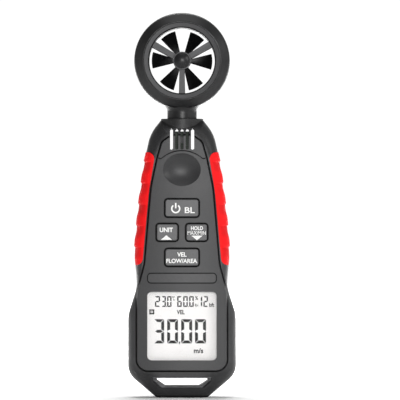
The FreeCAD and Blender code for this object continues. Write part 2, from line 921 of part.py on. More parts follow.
def seam_cutter():
    """A shallow groove arched over the dish, its ends turned up."""
    body = new_body("seam_cutter")
    half = [("seam_low_x", "seam_low_z", "seam_turn"), ("seam_end_x", "seam_end_z", "0")]
    path = [(f"-{x}", z, r) for x, z, r in reversed(half)] + [("0", "seam_peak_z", "seam_radius")] + half
    under = [(x, f"{z} - seam_width", r) for x, z, r in reversed(path)]
    pad_y(body, [path + under], "-panel_front - 1", "seam_depth - panel_front")
    return body


def make_lens():
    body = new_body("display_lens_body")
    pad_y(body, [window_loop("lens_flange - lens_gap")], "-lens_flange_front", "-panel_rear")
    pad_y(body, [window_loop("-lens_gap")], "-lens_front", "0.1 - lens_flange_front")
    node(body, "display_lens")


def make_name_plate():
    body = new_body("name_plate_body")
    gap = "plate_gap"
    left, right = f"{gap} - plate_half", f"plate_half - {gap}"
    loop = box_loop(left, f"plate_low_z + {gap}", right, f"plate_high_z - {gap}", f"plate_round - {gap}")
    pad_y(body, [loop], "0.05 - panel_front", "plate_depth - panel_front")
    node(body, "name_plate")


def make_key(key):
    """A key cap with its hidden flange, its contact pill and the flexing dome that carries it."""
    x, half, low, high = KEYS[key]
    middle = f"({low} + {high}) / 2"
    body = new_body(key + "_body")
    cap = pad_y(body, [key_loop(key, "-key_gap")], "-key_front", "-key_flange_front")
    doc.recompute()
    top_y = -number("key_front")
    rim = [
        f"Edge{i + 1}"
        for i, edge in enumerate(cap.Shape.Edges)
        if abs(edge.BoundBox.YMin - top_y) < 0.01 and abs(edge.BoundBox.YMax - top_y) < 0.01
    ]
    soften = body.newObject("PartDesign::Fillet", "soften")
    soften.Base = (cap, rim)
    soften.Radius = 0.4
    pad_y(body, [key_loop(key, "0.4")], "-key_flange_front", "key_flange - key_flange_front")
    reach = "dome_top_half"
    stem = box_loop(f"{x} - {reach}", f"{middle} - {reach}", f"{x} + {reach}", f"{middle} + {reach}", "0.8")
    pad_y(body, [stem], "key_flange - key_flange_front - 0.1", "-key_base")
    node(body, key)
    pill = rod(key + "_pill_rod", "pill_radius", x, "-key_base", middle, "key_base - pill_rear", (0, 1, 0))
    node(pill, key + "_pill")
    dome = new_body(key + "_dome_body")
    loft_dome(dome, "AdditiveLoft", x, middle, "0", "0")
    loft_dome(dome, "SubtractiveLoft", x, middle, "dome_wall", "0.2")
    node(dome, key + "_dome")


def loft_dome(body, kind, x, middle, wall, over):
    """A square pyramid frustum from the mat up to the key's base."""
    sections = []
    for half, y in (("dome_low_half", f"mat_front - {over}"), ("dome_top_half", f"key_base - 0.05 + {over}")):
        size = f"({half} - {wall})"
        loop = box_loop(f"{x} - {size}", f"{middle} - {size}", f"{x} + {size}", f"{middle} + {size}", "0.7")
        sections.append(new_sketch(body, "XZ_Plane", [loop], y))
    loft = body.newObject("PartDesign::" + kind, "loft")
    loft.Profile = sections[0]
    loft.Sections = sections[1:]
    loft.Ruled = True


def make_keypad_mat():
    body = new_body("keypad_mat_body")
    loop = box_loop("-mat_half", "mat_low_z", "mat_half", "mat_high_z", "2")
    pad_y(body, [loop], "-mat_front", "-board_front")
    for key, (x, half, low, high) in KEYS.items():
        middle = f"({low} + {high}) / 2"
        hollow = circle(x, middle, "dome_low_half - dome_wall - 0.3")
        pocket_y(body, [hollow], "-mat_front - 1", "1 - board_front")
    node(body, "keypad_mat")


# ---------------------------------------------------------------- display stack and boards


def make_display_stack():
    margin = "glass_margin"
    low, high = f"window_low_z - {margin}", f"window_high_z + {margin}"
    half = f"window_half + {margin}"
    node(block("glass", f"-({half})", "-glass_front", low, half, "-glass_rear", high), "lcd_glass")
    light_low = f"{low} + zebra_height + 0.3"
    side = f"({half} - 0.4)"
    light = block("light", f"-{side}", "0.05 - glass_rear", light_low, side, "-backlight_rear", high)
    node(light, "lcd_backlight")
    strip_high = f"{low} + zebra_height"
    side = f"({half} - 1)"
    strip = block("strip", f"-{side}", "0.05 - glass_rear", low, side, "-board_front", strip_high)
    node(strip, "zebra_strip")
    frame = new_body("lcd_frame_body")
    outer = box_loop(
        f"-({half} + frame_wall)", f"{low} - frame_wall", f"{half} + frame_wall", f"{high} + frame_wall", "1"
    )
    inner = box_loop(f"-({half} + 0.1)", f"{low} - 0.1", f"{half} + 0.1", f"{high} + 0.1", "0.3")
    pad_y(frame, [outer], "-frame_front", "-board_front")
    pocket_y(frame, [inner], "-glass_front - 1", "1 - board_front")
    node(frame, "lcd_frame")


def make_main_board():
    body = new_body("main_board_body")
    outline = mirrored(
        [
            ("board_half", "board_low_z", "3"),
            ("board_half", "board_belly_z", "3"),
            ("board_waist_half", "board_waist_z", "6"),
            ("board_neck_half", "board_neck_z", "1"),
            ("board_tip_half", "board_tip_z", "1"),
            ("board_tip_half", "board_high_z", "1"),
        ]
    )
    pad_y(body, [outline], "-board_front", "-board_rear")
    node(body, "main_board")
    rear = "-board_rear"
    chips = [
        block("controller", "-5", rear, "88", "5", "1.4 - board_rear", "98"),
        block("driver", "-4", rear, "76", "2", "1.2 - board_rear", "82"),
        block("regulator", "9", rear, "84", "12", "1.1 - board_rear", "87"),
        rod("crystal", "1.4", "9", rear, "95", "2.2", (0, 1, 0)),
        rod("capacitor", "2.0", "-11", rear, "92", "4", (0, 1, 0)),
    ]
    node(group("chips", *chips), "board_chips")
    node(rod("buzzer", "4.6", "0", rear, "105", "3.4", (0, 1, 0)), "piezo_buzzer")


def make_probe_board():
    """The humidity and temperature board, upright behind the vent slots."""
    board = block(
        "probe", "-probe_half", "-probe_front", "probe_low_z", "probe_half", "-probe_rear", "probe_high_z"
    )
    node(board, "sensor_board")
    chip = block("probe_chip", "-1.5", "-probe_front - 0.9", "127.2", "1.5", "-probe_front", "130.2")
    node(chip, "humidity_sensor")
    pins = block("pins", "-3.2", "-probe_rear", "115", "3.2", "-board_front", "117.2")
    node(pins, "sensor_header")


# ---------------------------------------------------------------- batteries and cover


def cover_outline(grow="0"):
    return box_loop(
        f"-(cover_half + {grow})",
        f"cover_low_z - ({grow})",
        f"cover_half + {grow}",
        f"cover_high_z + {grow}",
        "cover_round",
    )


def make_cells():
    """Three dry cells side by side, the middle one turned end for end, and their end contacts."""
    cells, springs, plates = [], [], []
    for i, x in enumerate(("-cell_pitch", "0", "cell_pitch")):
        flipped = i == 1
        can_low = "cell_low_z + nub_height" if flipped else "cell_low_z"
        nub_low = "cell_low_z" if flipped else "cell_low_z + cell_can"
        can = rod(f"can_{i}", "cell_radius", x, "cell_y", can_low, "cell_can")
        nub = rod(f"nub_{i}", "nub_radius", x, "cell_y", nub_low, "nub_height")
        cells.append(fuse(f"cell_{i}", can, nub))
        spring_low = "cell_low_z + nub_height + cell_can" if flipped else "bay_low_z + contact_plate"
        height = "bay_high_z - contact_plate - cell_low_z - nub_height - cell_can" if flipped else (
            "cell_low_z - bay_low_z - contact_plate"
        )
        springs.append(coil_spring(f"spring_{i}", x, spring_low, height))
        for low in ("bay_low_z", "bay_high_z - contact_plate"):
            left, right = f"{x} - contact_size / 2", f"{x} + contact_size / 2"
            front, rear = "cell_y - contact_size / 2", "cell_y + contact_size / 2"
            plates.append(block(f"plate_{i}", left, front, low, right, rear, f"{low} + contact_plate"))
    node(group("cells", *cells), "batteries")
    node(group("springs", *springs), "battery_springs")
    node(group("plates", *plates), "battery_contacts")


def coil_spring(name, x, low, height):
    """A cell's coil spring: a round wire along a helix."""
    body = doc.addObject("PartDesign::Body", name)
    bind(
        body,
        Placement__Base__x=x,
        Placement__Base__y="cell_y",
        Placement__Base__z=f"{low} + spring_wire + 0.05",
    )
    profile = new_sketch(body, "XZ_Plane", [circle("spring_wide", "0", "spring_wire")])
    helix = body.newObject("PartDesign::AdditiveHelix", "helix")
    helix.Profile = profile
    helix.ReferenceAxis = (profile, ["V_Axis"])
    helix.Mode = 0
    rise = f"(({height}) - 2 * spring_wire - 0.1)"
    bind(helix, Height=rise, Pitch=f"{rise} / spring_turns")
    profile.Visibility = False
    return body


def make_cover():
    """The battery cover follows the curved back of the case."""
    prism = new_body("cover_prism")
    pad_y(prism, [cover_outline()], "cover_rear", "back_depth + 3")
    hole = rod("cover_hole", "screw_clear", "0", "0", "cover_boss_z", "30", (0, 1, 0))
    sink = rod("cover_sink", "screw_pocket", "0", "back_depth - 1.2", "cover_boss_z", "5", (0, 1, 0))
    arrow = new_body("cover_grip_lines")
    lines = [box_loop("-5", f"{24 + 2 * i}", "5", f"{24.8 + 2 * i}") for i in range(4)]
    pad_y(arrow, lines, "back_depth - 0.5", "back_depth + 1")
    blank = common("cover_blank", prism, case_form("cover_skin", BACK))
    node(cut("cover_cut", blank, hole, sink, arrow), "battery_cover")


# ---------------------------------------------------------------- screws


def screw(
    name, x, y, z, shank="screw_shank", head="screw_head", height="screw_head_height", length="screw_length"
):
    """A cross-head screw whose head faces the back. y is the seat of its head."""
    body = new_body(name)
    profile = [
        ("0", f"-({length})", "0"),
        (f"0.4 * {shank}", f"-({length})", "0"),
        (shank, f"{shank} - {length}", "0"),
        (shank, "0", "0"),
        (head, "0", "0"),
        (head, height, f"0.3 * {height}"),
        ("0", height, "0"),
    ]
    turned(body, "Revolution", "XY_Plane", [profile])
    reach = f"{head} * cross_reach / screw_head"
    for a, b in ((reach, "cross_width / 2"), ("cross_width / 2", reach)):
        pocket_y(body, [box_loop(f"-({a})", f"-({b})", a, b)], f"{height} - cross_depth", f"{height} + 1")
    return bind(body, Placement__Base__x=x, Placement__Base__y=y, Placement__Base__z=z)


def make_screws():
    case = [screw(f"case_screw_{i}", x, "screw_seat", z) for i, (x, z) in enumerate(CASE_SCREWS)]
    node(group("case_screw_set", *case), "case_screws")
    cover = screw("cover_screw_body", "0", "back_depth - 1.2", "cover_boss_z", height="1.0", length="10")
    node(cover, "battery_cover_screw")
    heads = []
    for i, (x, z) in enumerate(head_screw_places()):
        sizes = ("head_screw_shank", "head_screw_head", "head_screw_head_height", "head_screw_length")
        heads.append(screw(f"head_screw_{i}", x, "head_screw_seat", f"head_z + {z}", *sizes))
    node(group("head_screw_set", *heads), "head_screws")


# ---------------------------------------------------------------- swivelling vane head


def head_screw_places():
    return [(f"head_screw_circle * cos({a})", f"head_screw_circle * sin({a})") for a in (35, 145, 215, 325)]


def make_housing(label, side):
    """Half of the vane ring with half of its hollow neck. Depths run towards the half's own face."""
    body = new_body(label + "_body", "head_z")
    slope = "(ring_face - ring_edge) / (ring_out - ring_crest)"
    trim_y = f"{side} * (ring_face - (ring_trim - ring_crest) * {slope})"
    ring = [
        ("seat_radius", "0", "0"),
        ("ring_out", "0", "0"),
        ("ring_out", f"{side} * ring_edge", "ring_round"),
        ("ring_trim", trim_y, "0"),
        ("ring_trim", f"{side} * (ring_face + 0.5)", "0"),
        ("rebate_radius", f"{side} * (ring_face + 0.5)", "0"),
        ("rebate_radius", f"{side} * rebate_depth", "0"),
        ("seat_radius", f"{side} * rebate_depth", "0"),
    ]
    turned(body, "Revolution", "XY_Plane", [ring])
    neck = [
        ("0", "flange_low_z - head_z", "0"),
        ("flange_radius", "flange_low_z - head_z", "0"),
        ("flange_radius", "flange_high_z - head_z", "0"),
        ("neck_radius", "flange_high_z - head_z", "0"),
        ("neck_radius", "-flare_low", "flare_round"),
        ("flare_radius", "-flare_high", "0"),
        ("flare_radius", "-neck_root", "0"),
        ("0", "-neck_root", "0"),
    ]
    turned(body, "Revolution", "XZ_Plane", [neck], "180", side == FRONT)
    cone = [
        ("ring_trim", trim_y, "0"),
        ("ring_trim + 0.5", f"{trim_y} + {side} * 0.3", "0"),
        ("ring_trim + 0.5", f"{side} * (ring_face + 2)", "0"),
        ("rebate_radius - 1", f"{side} * (ring_face + 2)", "0"),
        ("rebate_radius - 1", f"{side} * ring_face", "0"),
        ("ring_crest", f"{side} * ring_face", "crest_round"),
    ]
    turned(body, "Groove", "XY_Plane", [cone])
    pocket_z(body, [circle("0", "0", "neck_bore")], "flange_low_z - head_z - 1", "-neck_bore_top")
    for x, z in head_screw_places():
        if side == FRONT:
            hole = circle(x, z, "head_screw_shank")
            pocket_y(body, [hole], "head_screw_seat - head_screw_length - 0.2", "1")
        else:
            pocket_y(body, [circle(x, z, "head_screw_shank + 0.1")], "-1", "ring_face")
            pocket_y(body, [circle(x, z, "head_screw_pocket")], "head_screw_seat", "ring_face + 1")
    if side == FRONT:
        return node(cut(label + "_cut", body, stop_notch(label)), label)
    slot = block(
        "lead_slot",
        "-lead_slot_half",
        "2",
        "head_z - neck_bore_top - 1.2",
        "lead_slot_half",
        "lead_slot_y",
        "head_z - seat_radius + 1",
    )
    return node(cut(label + "_cut", body, slot, stop_notch(label)), label)


def stop_notch(name):
    """The stepped sector of the flange that rides over the case's stop and limits the swivel."""
    start = 90 - number("stop_clear_angle")
    ring = Part.makeCylinder(
        number("flange_radius") + 1, 4, Vector(0, 0, 0), Vector(0, 0, 1), 2 * number("stop_clear_angle")
    )
    keep = Part.makeCylinder(number("stop_inner"), 6, Vector(0, 0, -1))
    made = doc.addObject("Part::Feature", name + "_notch")
    made.Shape = ring.cut(keep)
    made.Placement = Placement(Vector(0, 0, 0), Rotation(Vector(0, 0, 1), start))
    return bind(made, Placement__Base__z="flange_low_z - 1")


def make_spider(label, side):
    """The pale inner ring: a flared rim, a sleeve that lines the duct, three spokes and a hub."""
    body = new_body(label + "_body", "head_z")
    rim = [
        ("duct_radius", f"{side} * 0.1", "0"),
        ("sleeve_out", f"{side} * 0.1", "0"),
        ("sleeve_out", f"{side} * (rebate_depth + 0.1)", "0"),
        ("rebate_radius - 0.1", f"{side} * (rebate_depth + 0.1)", "0"),
        ("rebate_radius - 0.1", f"{side} * funnel_front", "0.3"),
        ("duct_radius", f"{side} * funnel_back", "0.5"),
    ]
    turned(body, "Revolution", "XY_Plane", [rim])
    hub = [
        ("bearing_radius", f"{side} * hub_rear", "0"),
        ("hub_radius", f"{side} * hub_rear", "0"),
        ("hub_radius", f"{side} * hub_front", "0.25"),
        ("cap_radius + 0.05", f"{side} * hub_front", "0"),
        ("cap_radius + 0.05", f"{side} * cap_seat", "0"),
        ("0", f"{side} * cap_seat", "0"),
        ("0", f"{side} * bearing_front", "0"),
        ("bearing_radius", f"{side} * bearing_front", "0"),
    ]
    turned(body, "Revolution", "XY_Plane", [hub])
    spoke = [
        ("-spoke_tip", "-(duct_radius + 0.5)", "0"),
        ("spoke_tip", "-(duct_radius + 0.5)", "0"),
        ("spoke_root", "-(hub_radius - 0.5)", "0"),
        ("-spoke_root", "-(hub_radius - 0.5)", "0"),
    ]
    low, high = ("-spoke_front", "-spoke_rear") if side == FRONT else ("spoke_rear", "spoke_front")
    repeat_round(body, pad_y(body, [spoke], low, high), "Y_Axis", SPOKES)
    if side == FRONT:
        return node(body, label)
    pocket = block(
        "hall_pocket",
        "-hall_half - 0.1",
        "hub_rear - 1",
        "head_z - hall_low - 0.1",
        "hall_half + 0.1",
        "hub_rear + hall_depth + 0.1",
        "head_z - hall_high",
    )
    channel = block(
        "flex_channel",
        "-flex_half - 0.1",
        "hub_rear - 1",
        "head_z - seat_radius - 1",
        "flex_half + 0.1",
        "spoke_rear + flex_thick",
        "head_z - hall_low",
    )
    return node(cut(label + "_cut", body, pocket, channel), label)


def make_hub_cap(label, side):
    """A domed cap over the hub: a short cylinder within a sphere."""
    radius = "((cap_radius^2 + cap_dome^2) / (2 * cap_dome))"
    stem = rod(
        label + "_stem",
        "cap_radius",
        "0",
        f"{side} * cap_seat",
        "head_z",
        "cap_front - cap_seat",
        (0, float(side), 0),
    )
    ball = doc.addObject("Part::Sphere", label + "_ball")
    centre = f"{side} * (cap_front - {radius})"
    bind(ball, Radius=radius, Placement__Base__y=centre, Placement__Base__z="head_z")
    node(common(label + "_common", stem, ball), label)


def make_bearing(label, side):
    body = new_body(label + "_body", "head_z")
    low, high = ("-bearing_front", "-hub_rear") if side == FRONT else ("hub_rear", "bearing_front")
    pad_y(body, [circle("0", "0", "bearing_radius")], low, high)
    pocket_y(body, [circle("0", "0", "bearing_bore")], f"{low} - 1", f"{high} + 1")
    node(body, label)


def make_rotor():
    """The six-bladed rotor on its steel axle, with a ring magnet let into its hub."""
    body = new_body("impeller_body", "head_z", "rotor_rest_angle")
    hub = [
        ("axle_radius", "-rotor_hub_half", "0"),
        ("rotor_hub", "-rotor_hub_half", "0.8"),
        ("rotor_hub", "rotor_hub_half", "0.3"),
        ("magnet_out", "rotor_hub_half", "0"),
        ("magnet_out", "rotor_hub_half - magnet_depth", "0"),
        ("magnet_in", "rotor_hub_half - magnet_depth", "0"),
        ("magnet_in", "rotor_hub_half", "0"),
        ("axle_radius", "rotor_hub_half", "0"),
    ]
    turned(body, "Revolution", "XY_Plane", [hub])
    sections = []
    for reach in ("blade_root", "blade_end"):
        side = f"blade_spread * {reach}"
        loop = [
            ("blade_half_depth + blade_half_thick", side, "0"),
            ("blade_half_depth - blade_half_thick", side, "0"),
            ("-blade_half_depth - blade_half_thick", f"-{side}", "0"),
            ("blade_half_thick - blade_half_depth", f"-{side}", "0"),
        ]
        sections.append(new_sketch(body, "YZ_Plane", [loop], reach))
    blade = body.newObject("PartDesign::AdditiveLoft", "blade")
    blade.Profile = sections[0]
    blade.Sections = sections[1:]
    repeat_round(body, blade, "Y_Axis", BLADES)
    beyond = box_loop("rotor_tip", "-6", "rotor_tip + 4", "6")
    turned(body, "Groove", "XY_Plane", [beyond])
    node(body, "impeller")
    axle = rod("axle_rod", "axle_radius", "0", "-axle_half", "head_z", "2 * axle_half", (0, 1, 0))
    node(axle, "vane_axle")
    magnet = new_body("magnet_body", "head_z")
    pad_y(magnet, [circle("0", "0", "magnet_out")], "rotor_hub_half - magnet_depth", "rotor_hub_half")
    pocket_y(magnet, [circle("0", "0", "magnet_in")], "0", "rotor_hub_half + 1")
    node(magnet, "impeller_magnet")


def make_pickup():
    """The magnetic pickup in the rear hub and its flat lead down the lower spoke."""
    sensor = block(
        "hall",
        "-hall_half",
        "hub_rear + 0.1",
        "head_z - hall_low",
        "hall_half",
        "hub_rear + hall_depth",
        "head_z - hall_high - 0.1",
    )
    node(sensor, "hall_sensor")
    flex = block(
        "flex",
        "-flex_half",
        "spoke_rear",
        "head_z - flex_end",
        "flex_half",
        "spoke_rear + flex_thick",
        "head_z - hall_low - 0.1",
    )
    node(flex, "hall_flex")


def lead(label, points, radii):
    """A round lead swept along straight runs joined by tangent arcs."""
    at = [Vector(*(number(c) for c in p)) for p in points]
    edges, here = [], at[0]
    for i in range(1, len(at) - 1):
        into, out = (at[i - 1] - at[i]).normalize(), (at[i + 1] - at[i]).normalize()
        angle = into.getAngle(out)
        reach = radii[i - 1] / math.tan(angle / 2)
        middle = (into + out).normalize()
        centre = at[i] + middle * (radii[i - 1] / math.sin(angle / 2))
        leave, rejoin = at[i] + into * reach, at[i] + out * reach
        edges.append(Part.LineSegment(here, leave).toShape())
        edges.append(Part.Arc(leave, centre - middle * radii[i - 1], rejoin).toShape())
        here = rejoin
    edges.append(Part.LineSegment(here, at[-1]).toShape())
    path = Part.Wire(edges)
    radius = number("lead_radius")
    section = Part.Wire(Part.makeCircle(radius, at[0], at[1] - at[0]))
    made = doc.addObject("Part::Feature", label + "_pipe")
    made.Shape = path.makePipeShell([section], True, True)
    expected = math.pi * radius * radius * path.Length
    if abs(made.Shape.Volume / expected - 1) > 0.02:
        raise RuntimeError(f"{label} was swept badly")
    return node(made, label)


def make_leads():
    """The pickup's lead: one length turns with the head on the swivel axis, the other stays in the case."""
    head_lead = [
        ("0", "6.4", "head_z - 18"),
        ("0", "6.4", "head_z - 20.6"),
        ("0", "0", "head_z - 26.5"),
        ("0", "0", "flange_low_z"),
    ]
    lead("head_lead", head_lead, (1.6, 3.0))
    case_lead = [
        ("0", "0", "flange_low_z - 0.1"),
        ("0", "0", "135.4"),
        ("slot_pitch / 2", "0", "133.6"),
        ("slot_pitch / 2", "0", "124"),
        ("slot_pitch / 2 + 3.4", "-1.6", "117.6"),
        ("slot_pitch / 2 + 3.4", "-board_rear", "117.6"),
    ]
    lead("case_lead", case_lead, (0.5, 0.9, 3.0, 1.0))


def make_swivel_washer():
    body = new_body("washer_body")
    pad_z(body, [circle("0", "0", "stop_inner - 0.1")], "socket_low_z", "socket_low_z + washer_height")
    pocket_z(body, [circle("0", "0", "neck_bore - 0.6")], "socket_low_z - 1", "socket_low_z + 1")
    node(body, "swivel_washer")


# ---------------------------------------------------------------- build, check and write


def build():
    fill_sheet()
    hollow = make_grips()
    make_front_shell(hollow)
    make_back_shell(hollow)
    make_front_panel()
    make_lens()
    make_name_plate()
    make_keypad_mat()
    for key in KEYS:
        make_key(key)
    make_display_stack()
    make_main_board()
    make_probe_board()
    make_cells()
    make_cover()
    make_screws()
    for side, word in ((FRONT, "front"), (BACK, "rear")):
        make_housing(f"head_{word}_housing", side)
        make_spider(f"{word}_spider", side)
        make_hub_cap(f"{word}_hub_cap", side)
        make_bearing(f"{word}_bearing", side)
    make_rotor()
    make_pickup()
    make_leads()
    make_swivel_washer()
    doc.recompute()


def check():
    """Every object has to be sound before anything is written."""
    for thing in doc.Objects:
        if "Invalid" in thing.State or "Error" in thing.State:
            raise RuntimeError(f"{thing.Name} ({thing.Label}) failed: {thing.State}")
    for thing in nodes:
        shape = thing.Shape
        if shape.isNull() or not shape.isValid() or not shape.Solids:
            raise RuntimeError(f"{thing.Label} is not a sound solid")


def write():
    os.makedirs("parts", exist_ok=True)
    for thing in nodes:
        thing.Shape.exportStep(f"parts/{thing.Label}.step")


build()
check()
write()
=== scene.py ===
import json
import math

import bmesh
import bpy
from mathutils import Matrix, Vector


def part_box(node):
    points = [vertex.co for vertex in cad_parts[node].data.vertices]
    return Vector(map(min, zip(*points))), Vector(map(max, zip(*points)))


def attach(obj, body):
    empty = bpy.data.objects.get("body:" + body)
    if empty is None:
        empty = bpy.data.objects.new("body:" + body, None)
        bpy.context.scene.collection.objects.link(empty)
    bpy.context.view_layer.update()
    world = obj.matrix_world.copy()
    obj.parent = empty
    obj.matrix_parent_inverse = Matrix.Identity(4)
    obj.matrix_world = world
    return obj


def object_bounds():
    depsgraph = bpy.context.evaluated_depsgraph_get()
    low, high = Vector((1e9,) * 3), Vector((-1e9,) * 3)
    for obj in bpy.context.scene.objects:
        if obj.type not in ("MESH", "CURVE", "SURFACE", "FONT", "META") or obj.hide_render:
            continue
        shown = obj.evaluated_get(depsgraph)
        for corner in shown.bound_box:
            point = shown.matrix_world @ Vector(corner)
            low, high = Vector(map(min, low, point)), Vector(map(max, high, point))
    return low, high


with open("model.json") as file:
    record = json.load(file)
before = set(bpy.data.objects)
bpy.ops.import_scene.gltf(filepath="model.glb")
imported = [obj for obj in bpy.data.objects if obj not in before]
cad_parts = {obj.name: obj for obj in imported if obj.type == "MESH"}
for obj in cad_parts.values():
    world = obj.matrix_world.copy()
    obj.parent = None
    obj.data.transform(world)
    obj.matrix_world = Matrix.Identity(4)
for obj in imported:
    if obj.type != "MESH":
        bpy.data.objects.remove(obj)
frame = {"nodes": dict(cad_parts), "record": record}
cad_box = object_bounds()
NODES = frame["nodes"]

MM = 0.001


# ---------------------------------------------------------------- materials

# Ranges of a node's value that are stretched to the whole of a material's own range.
MOTTLE = (0.3, 0.7)  # a noise's usual values
GLOSS = (0.25, 0.75)  # the same, less strong
SPECKS = (0.35, 0.7)  # a noise's brighter values
RUBBED = (0.515, 0.57)  # pointiness of an outer edge
HOLLOW = (0.42, 0.49)  # pointiness of an inner edge
SHUT = (0.4, 0.9)  # open share of the sky, from a deep gap to a free face

# Scales of the noises, in cycles per metre.
CLOUD, GRAIN = 38.0, 5200.0

# How much lighter or darker than its base a plastic is in its specks, on worn edges and in its gaps,
# which get painted shade.
SPECK_TINT, WORN_TINT, GAP_SHADE_TINT = 1.35, 2.2, 0.06

# The same for rubber between ribs (painted shade), in hollows, and in crevices (painted shade), and
# how strong the last is.
RIB_SHADE_TINT, HOLLOW_TINT, CREVICE_TINT, CREVICE_SHARE = 0.2, 0.45, 0.1, 0.6

# The case's shades, in metres: painted shade over the shoulders above a line that rises outwards,
# painted shade at the foot, and a dark seam.
SHOULDER_Z, SHOULDER_RISE = (0.1180, 0.1184), 0.1
FOOT_Z, FOOT_SHADE_SHARE = (0.0125, 0.019), 0.9
SEAM_HALF, SEAM_DEPTH = (0.00008, 0.00016), 0.1 * MM

# The painted light on the lanyard slot's sloping rim, in millimetres: where it is full, and where it
# ends.
# Its two sides slope outwards. A face that hardly turns to the front or back has none of it.
BEVEL_LOW_Z, BEVEL_HIGH_Z = (5.2, 5.0), (10.1, 10.3)
BEVEL_X, BEVEL_Y = (14.3, 14.6), (-6.0, -5.0)
BEVEL_SLANT, BEVEL_SIDE = 1.17, (3.8, 4.1)
BEVEL_TURN, BEVEL_LIGHT_SHARE = (0.2, 0.3), 0.7

# The spider's painted shade line, in millimetres from the rotor's axis: where it starts and where it
# ends.
SHADE_LINE_START, SHADE_LINE_END = (16.25, 16.38), (16.9, 17.1)

# The grips' painted rib shade: the foot of the first rib and the ribs' pitch, in metres; where in a
# pitch the painted shade comes in; how far a face turns sideways before it is shaded; and the share
# of the shade.
GRIP_RIBS, RIB_SHADE = (0.075, 0.01065), (0.42, 0.66)
RIB_TURN, RIB_DARK = (0.3, 0.5), 0.22

# A dry cell's copper band starts at this height, in metres.
BAND_Z = (0.0545, 0.0548)


def linear(text):
    """An sRGB hex colour as linear RGBA."""
    out = []
    for i in (0, 2, 4):
        c = int(text[i : i + 2], 16) / 255
        out.append(c / 12.92 if c <= 0.04045 else ((c + 0.055) / 1.055) ** 2.4)
    return (*out, 1.0)


def tinted(colour, share):
    """A colour made lighter or darker by a share of itself."""
    return tuple(min(1.0, c * share) for c in colour[:3]) + (1.0,)


def add_node(tree, kind, inputs=(), **settings):
    """A new shader node. Each input is a plain value or the socket that feeds it."""
    made = tree.nodes.new("ShaderNode" + kind)
    for name, value in settings.items():
        setattr(made, name, value)
    for key, value in dict(inputs).items():
        if isinstance(value, bpy.types.NodeSocket):
            tree.links.new(value, made.inputs[key])
        else:
            made.inputs[key].default_value = value
    return made


class Graph:
    """A short way to lay out one material's nodes."""

    def __init__(self, name):
        self.name = name
        self.material = bpy.data.materials.new(name)
        self.material.use_nodes = True
        self.tree = self.material.node_tree
        self.shader = self.tree.nodes["Principled BSDF"]
        spots = self.node("TexCoord").outputs
        self.place, self.facing = spots["Object"], spots["Normal"]

    def node(self, kind, inputs=(), **settings):
        return add_node(self.tree, kind, inputs, **settings)

    def link(self, source, socket):
        self.tree.links.new(source, self.shader.inputs[socket])

    def fix(self, **values):
        for name, value in values.items():
            self.shader.inputs[name.replace("_", " ")].default_value = value
        return self

    def noise(self, scale, detail=3.0, rough=0.55, place=None):
        inputs = {"Vector": place or self.place, "Scale": scale, "Detail": detail}
        return self.node("TexNoise", {**inputs, "Roughness": rough}).outputs["Fac"]

    def math(self, operation, a, b=0.0):
        return self.node("Math", {0: a, 1: b}, operation=operation).outputs[0]

    def spread(self, value, low, high, to_low=0.0, to_high=1.0):
        """The value's range from low to high, stretched to another range and held at its ends."""
        inputs = {"Value": value, 1: low, 2: high, 3: to_low, 4: to_high}
        return self.node("MapRange", inputs, clamp=True).outputs[0]

    def mix(self, factor, a, b):
        """Colour a going over to b, which are the Mix node's inputs 6 and 7 and its output 2."""
        return self.node("Mix", {0: factor, 6: a, 7: b}, data_type="RGBA").outputs[2]

    def bump(self, height, distance, normal=None):
        inputs = {"Height": height, "Distance": distance}
        if normal is not None:
            inputs["Normal"] = normal
        return self.node("Bump", inputs).outputs["Normal"]

    def axis(self, name, of=None):
        return self.node("SeparateXYZ", {0: of or self.place}).outputs[name]

    def away(self, name, of=None):
        """The size of a coordinate, whatever its sign."""
        return self.math("ABSOLUTE", self.axis(name, of))

    def edges(self, limits, to_low, to_high):
        """A value that changes where the shape is pointed or hollow."""
        pointed = self.node("NewGeometry").outputs["Pointiness"]
        return self.spread(pointed, *limits, to_low, to_high)

    def crevice(self, reach=1.5 * MM):
        """Where painted shade goes: 1 deep in a gap or corner narrower than the reach, 0 on an open
        face.
        """
        open_share = self.node("AmbientOcclusion", {"Distance": reach}, samples=8).outputs["AO"]
        return self.spread(open_share, *SHUT, 1.0, 0.0)

    def dull(self, cloud, low, high, gap_darkening):
        """Roughness that varies with the cloud, and is full in the darkened gaps."""
        self.link(self.math("MAXIMUM", self.spread(cloud, *GLOSS, low, high), gap_darkening), "Roughness")


def plastic(
    name,
    colour,
    rough=0.5,
    grain=GRAIN,
    depth=0.02,
    wear=0.12,
    spread=0.14,
    specular=0.4,
    crown=0.0,
    reach=1.5,
):
    """Moulded plastic: fine spark texture, slight mottling, and edges polished a little lighter.

    The grain's depth is in millimetres. A crown is the radius in metres to which a face seems
    domed across its width. Gaps narrower than the reach, in millimetres, are darkened with painted
    shade."""
    g = Graph(name)
    base = linear(colour)
    cloud = g.noise(CLOUD, detail=4.0)
    speck = g.noise(grain / 2, detail=2.0, rough=0.7)
    mottled = g.mix(g.spread(cloud, *MOTTLE), tinted(base, 1 - spread), tinted(base, 1 + spread))
    grained = g.mix(g.spread(speck, *SPECKS, 0.0, 0.5), mottled, tinted(base, SPECK_TINT))
    worn = g.mix(g.edges(RUBBED, 0.0, wear), grained, tinted(base, WORN_TINT))
    # Painted shade: gaps and corners narrower than the reach are darkened to near black.
    gap_darkening = g.crevice(reach * MM)
    g.link(g.mix(gap_darkening, worn, tinted(base, GAP_SHADE_TINT)), "Base Color")
    g.dull(cloud, rough - 0.05, rough + 0.07, gap_darkening)
    domed = None
    if crown:
        x = g.axis("X")
        domed = g.bump(g.math("MULTIPLY", g.math("MULTIPLY", x, x), -0.5 / crown), 1.0)
    g.link(g.bump(g.noise(grain, detail=2.0, rough=0.75), depth * MM, domed), "Normal")
    return g.fix(Specular_IOR_Level=specular)


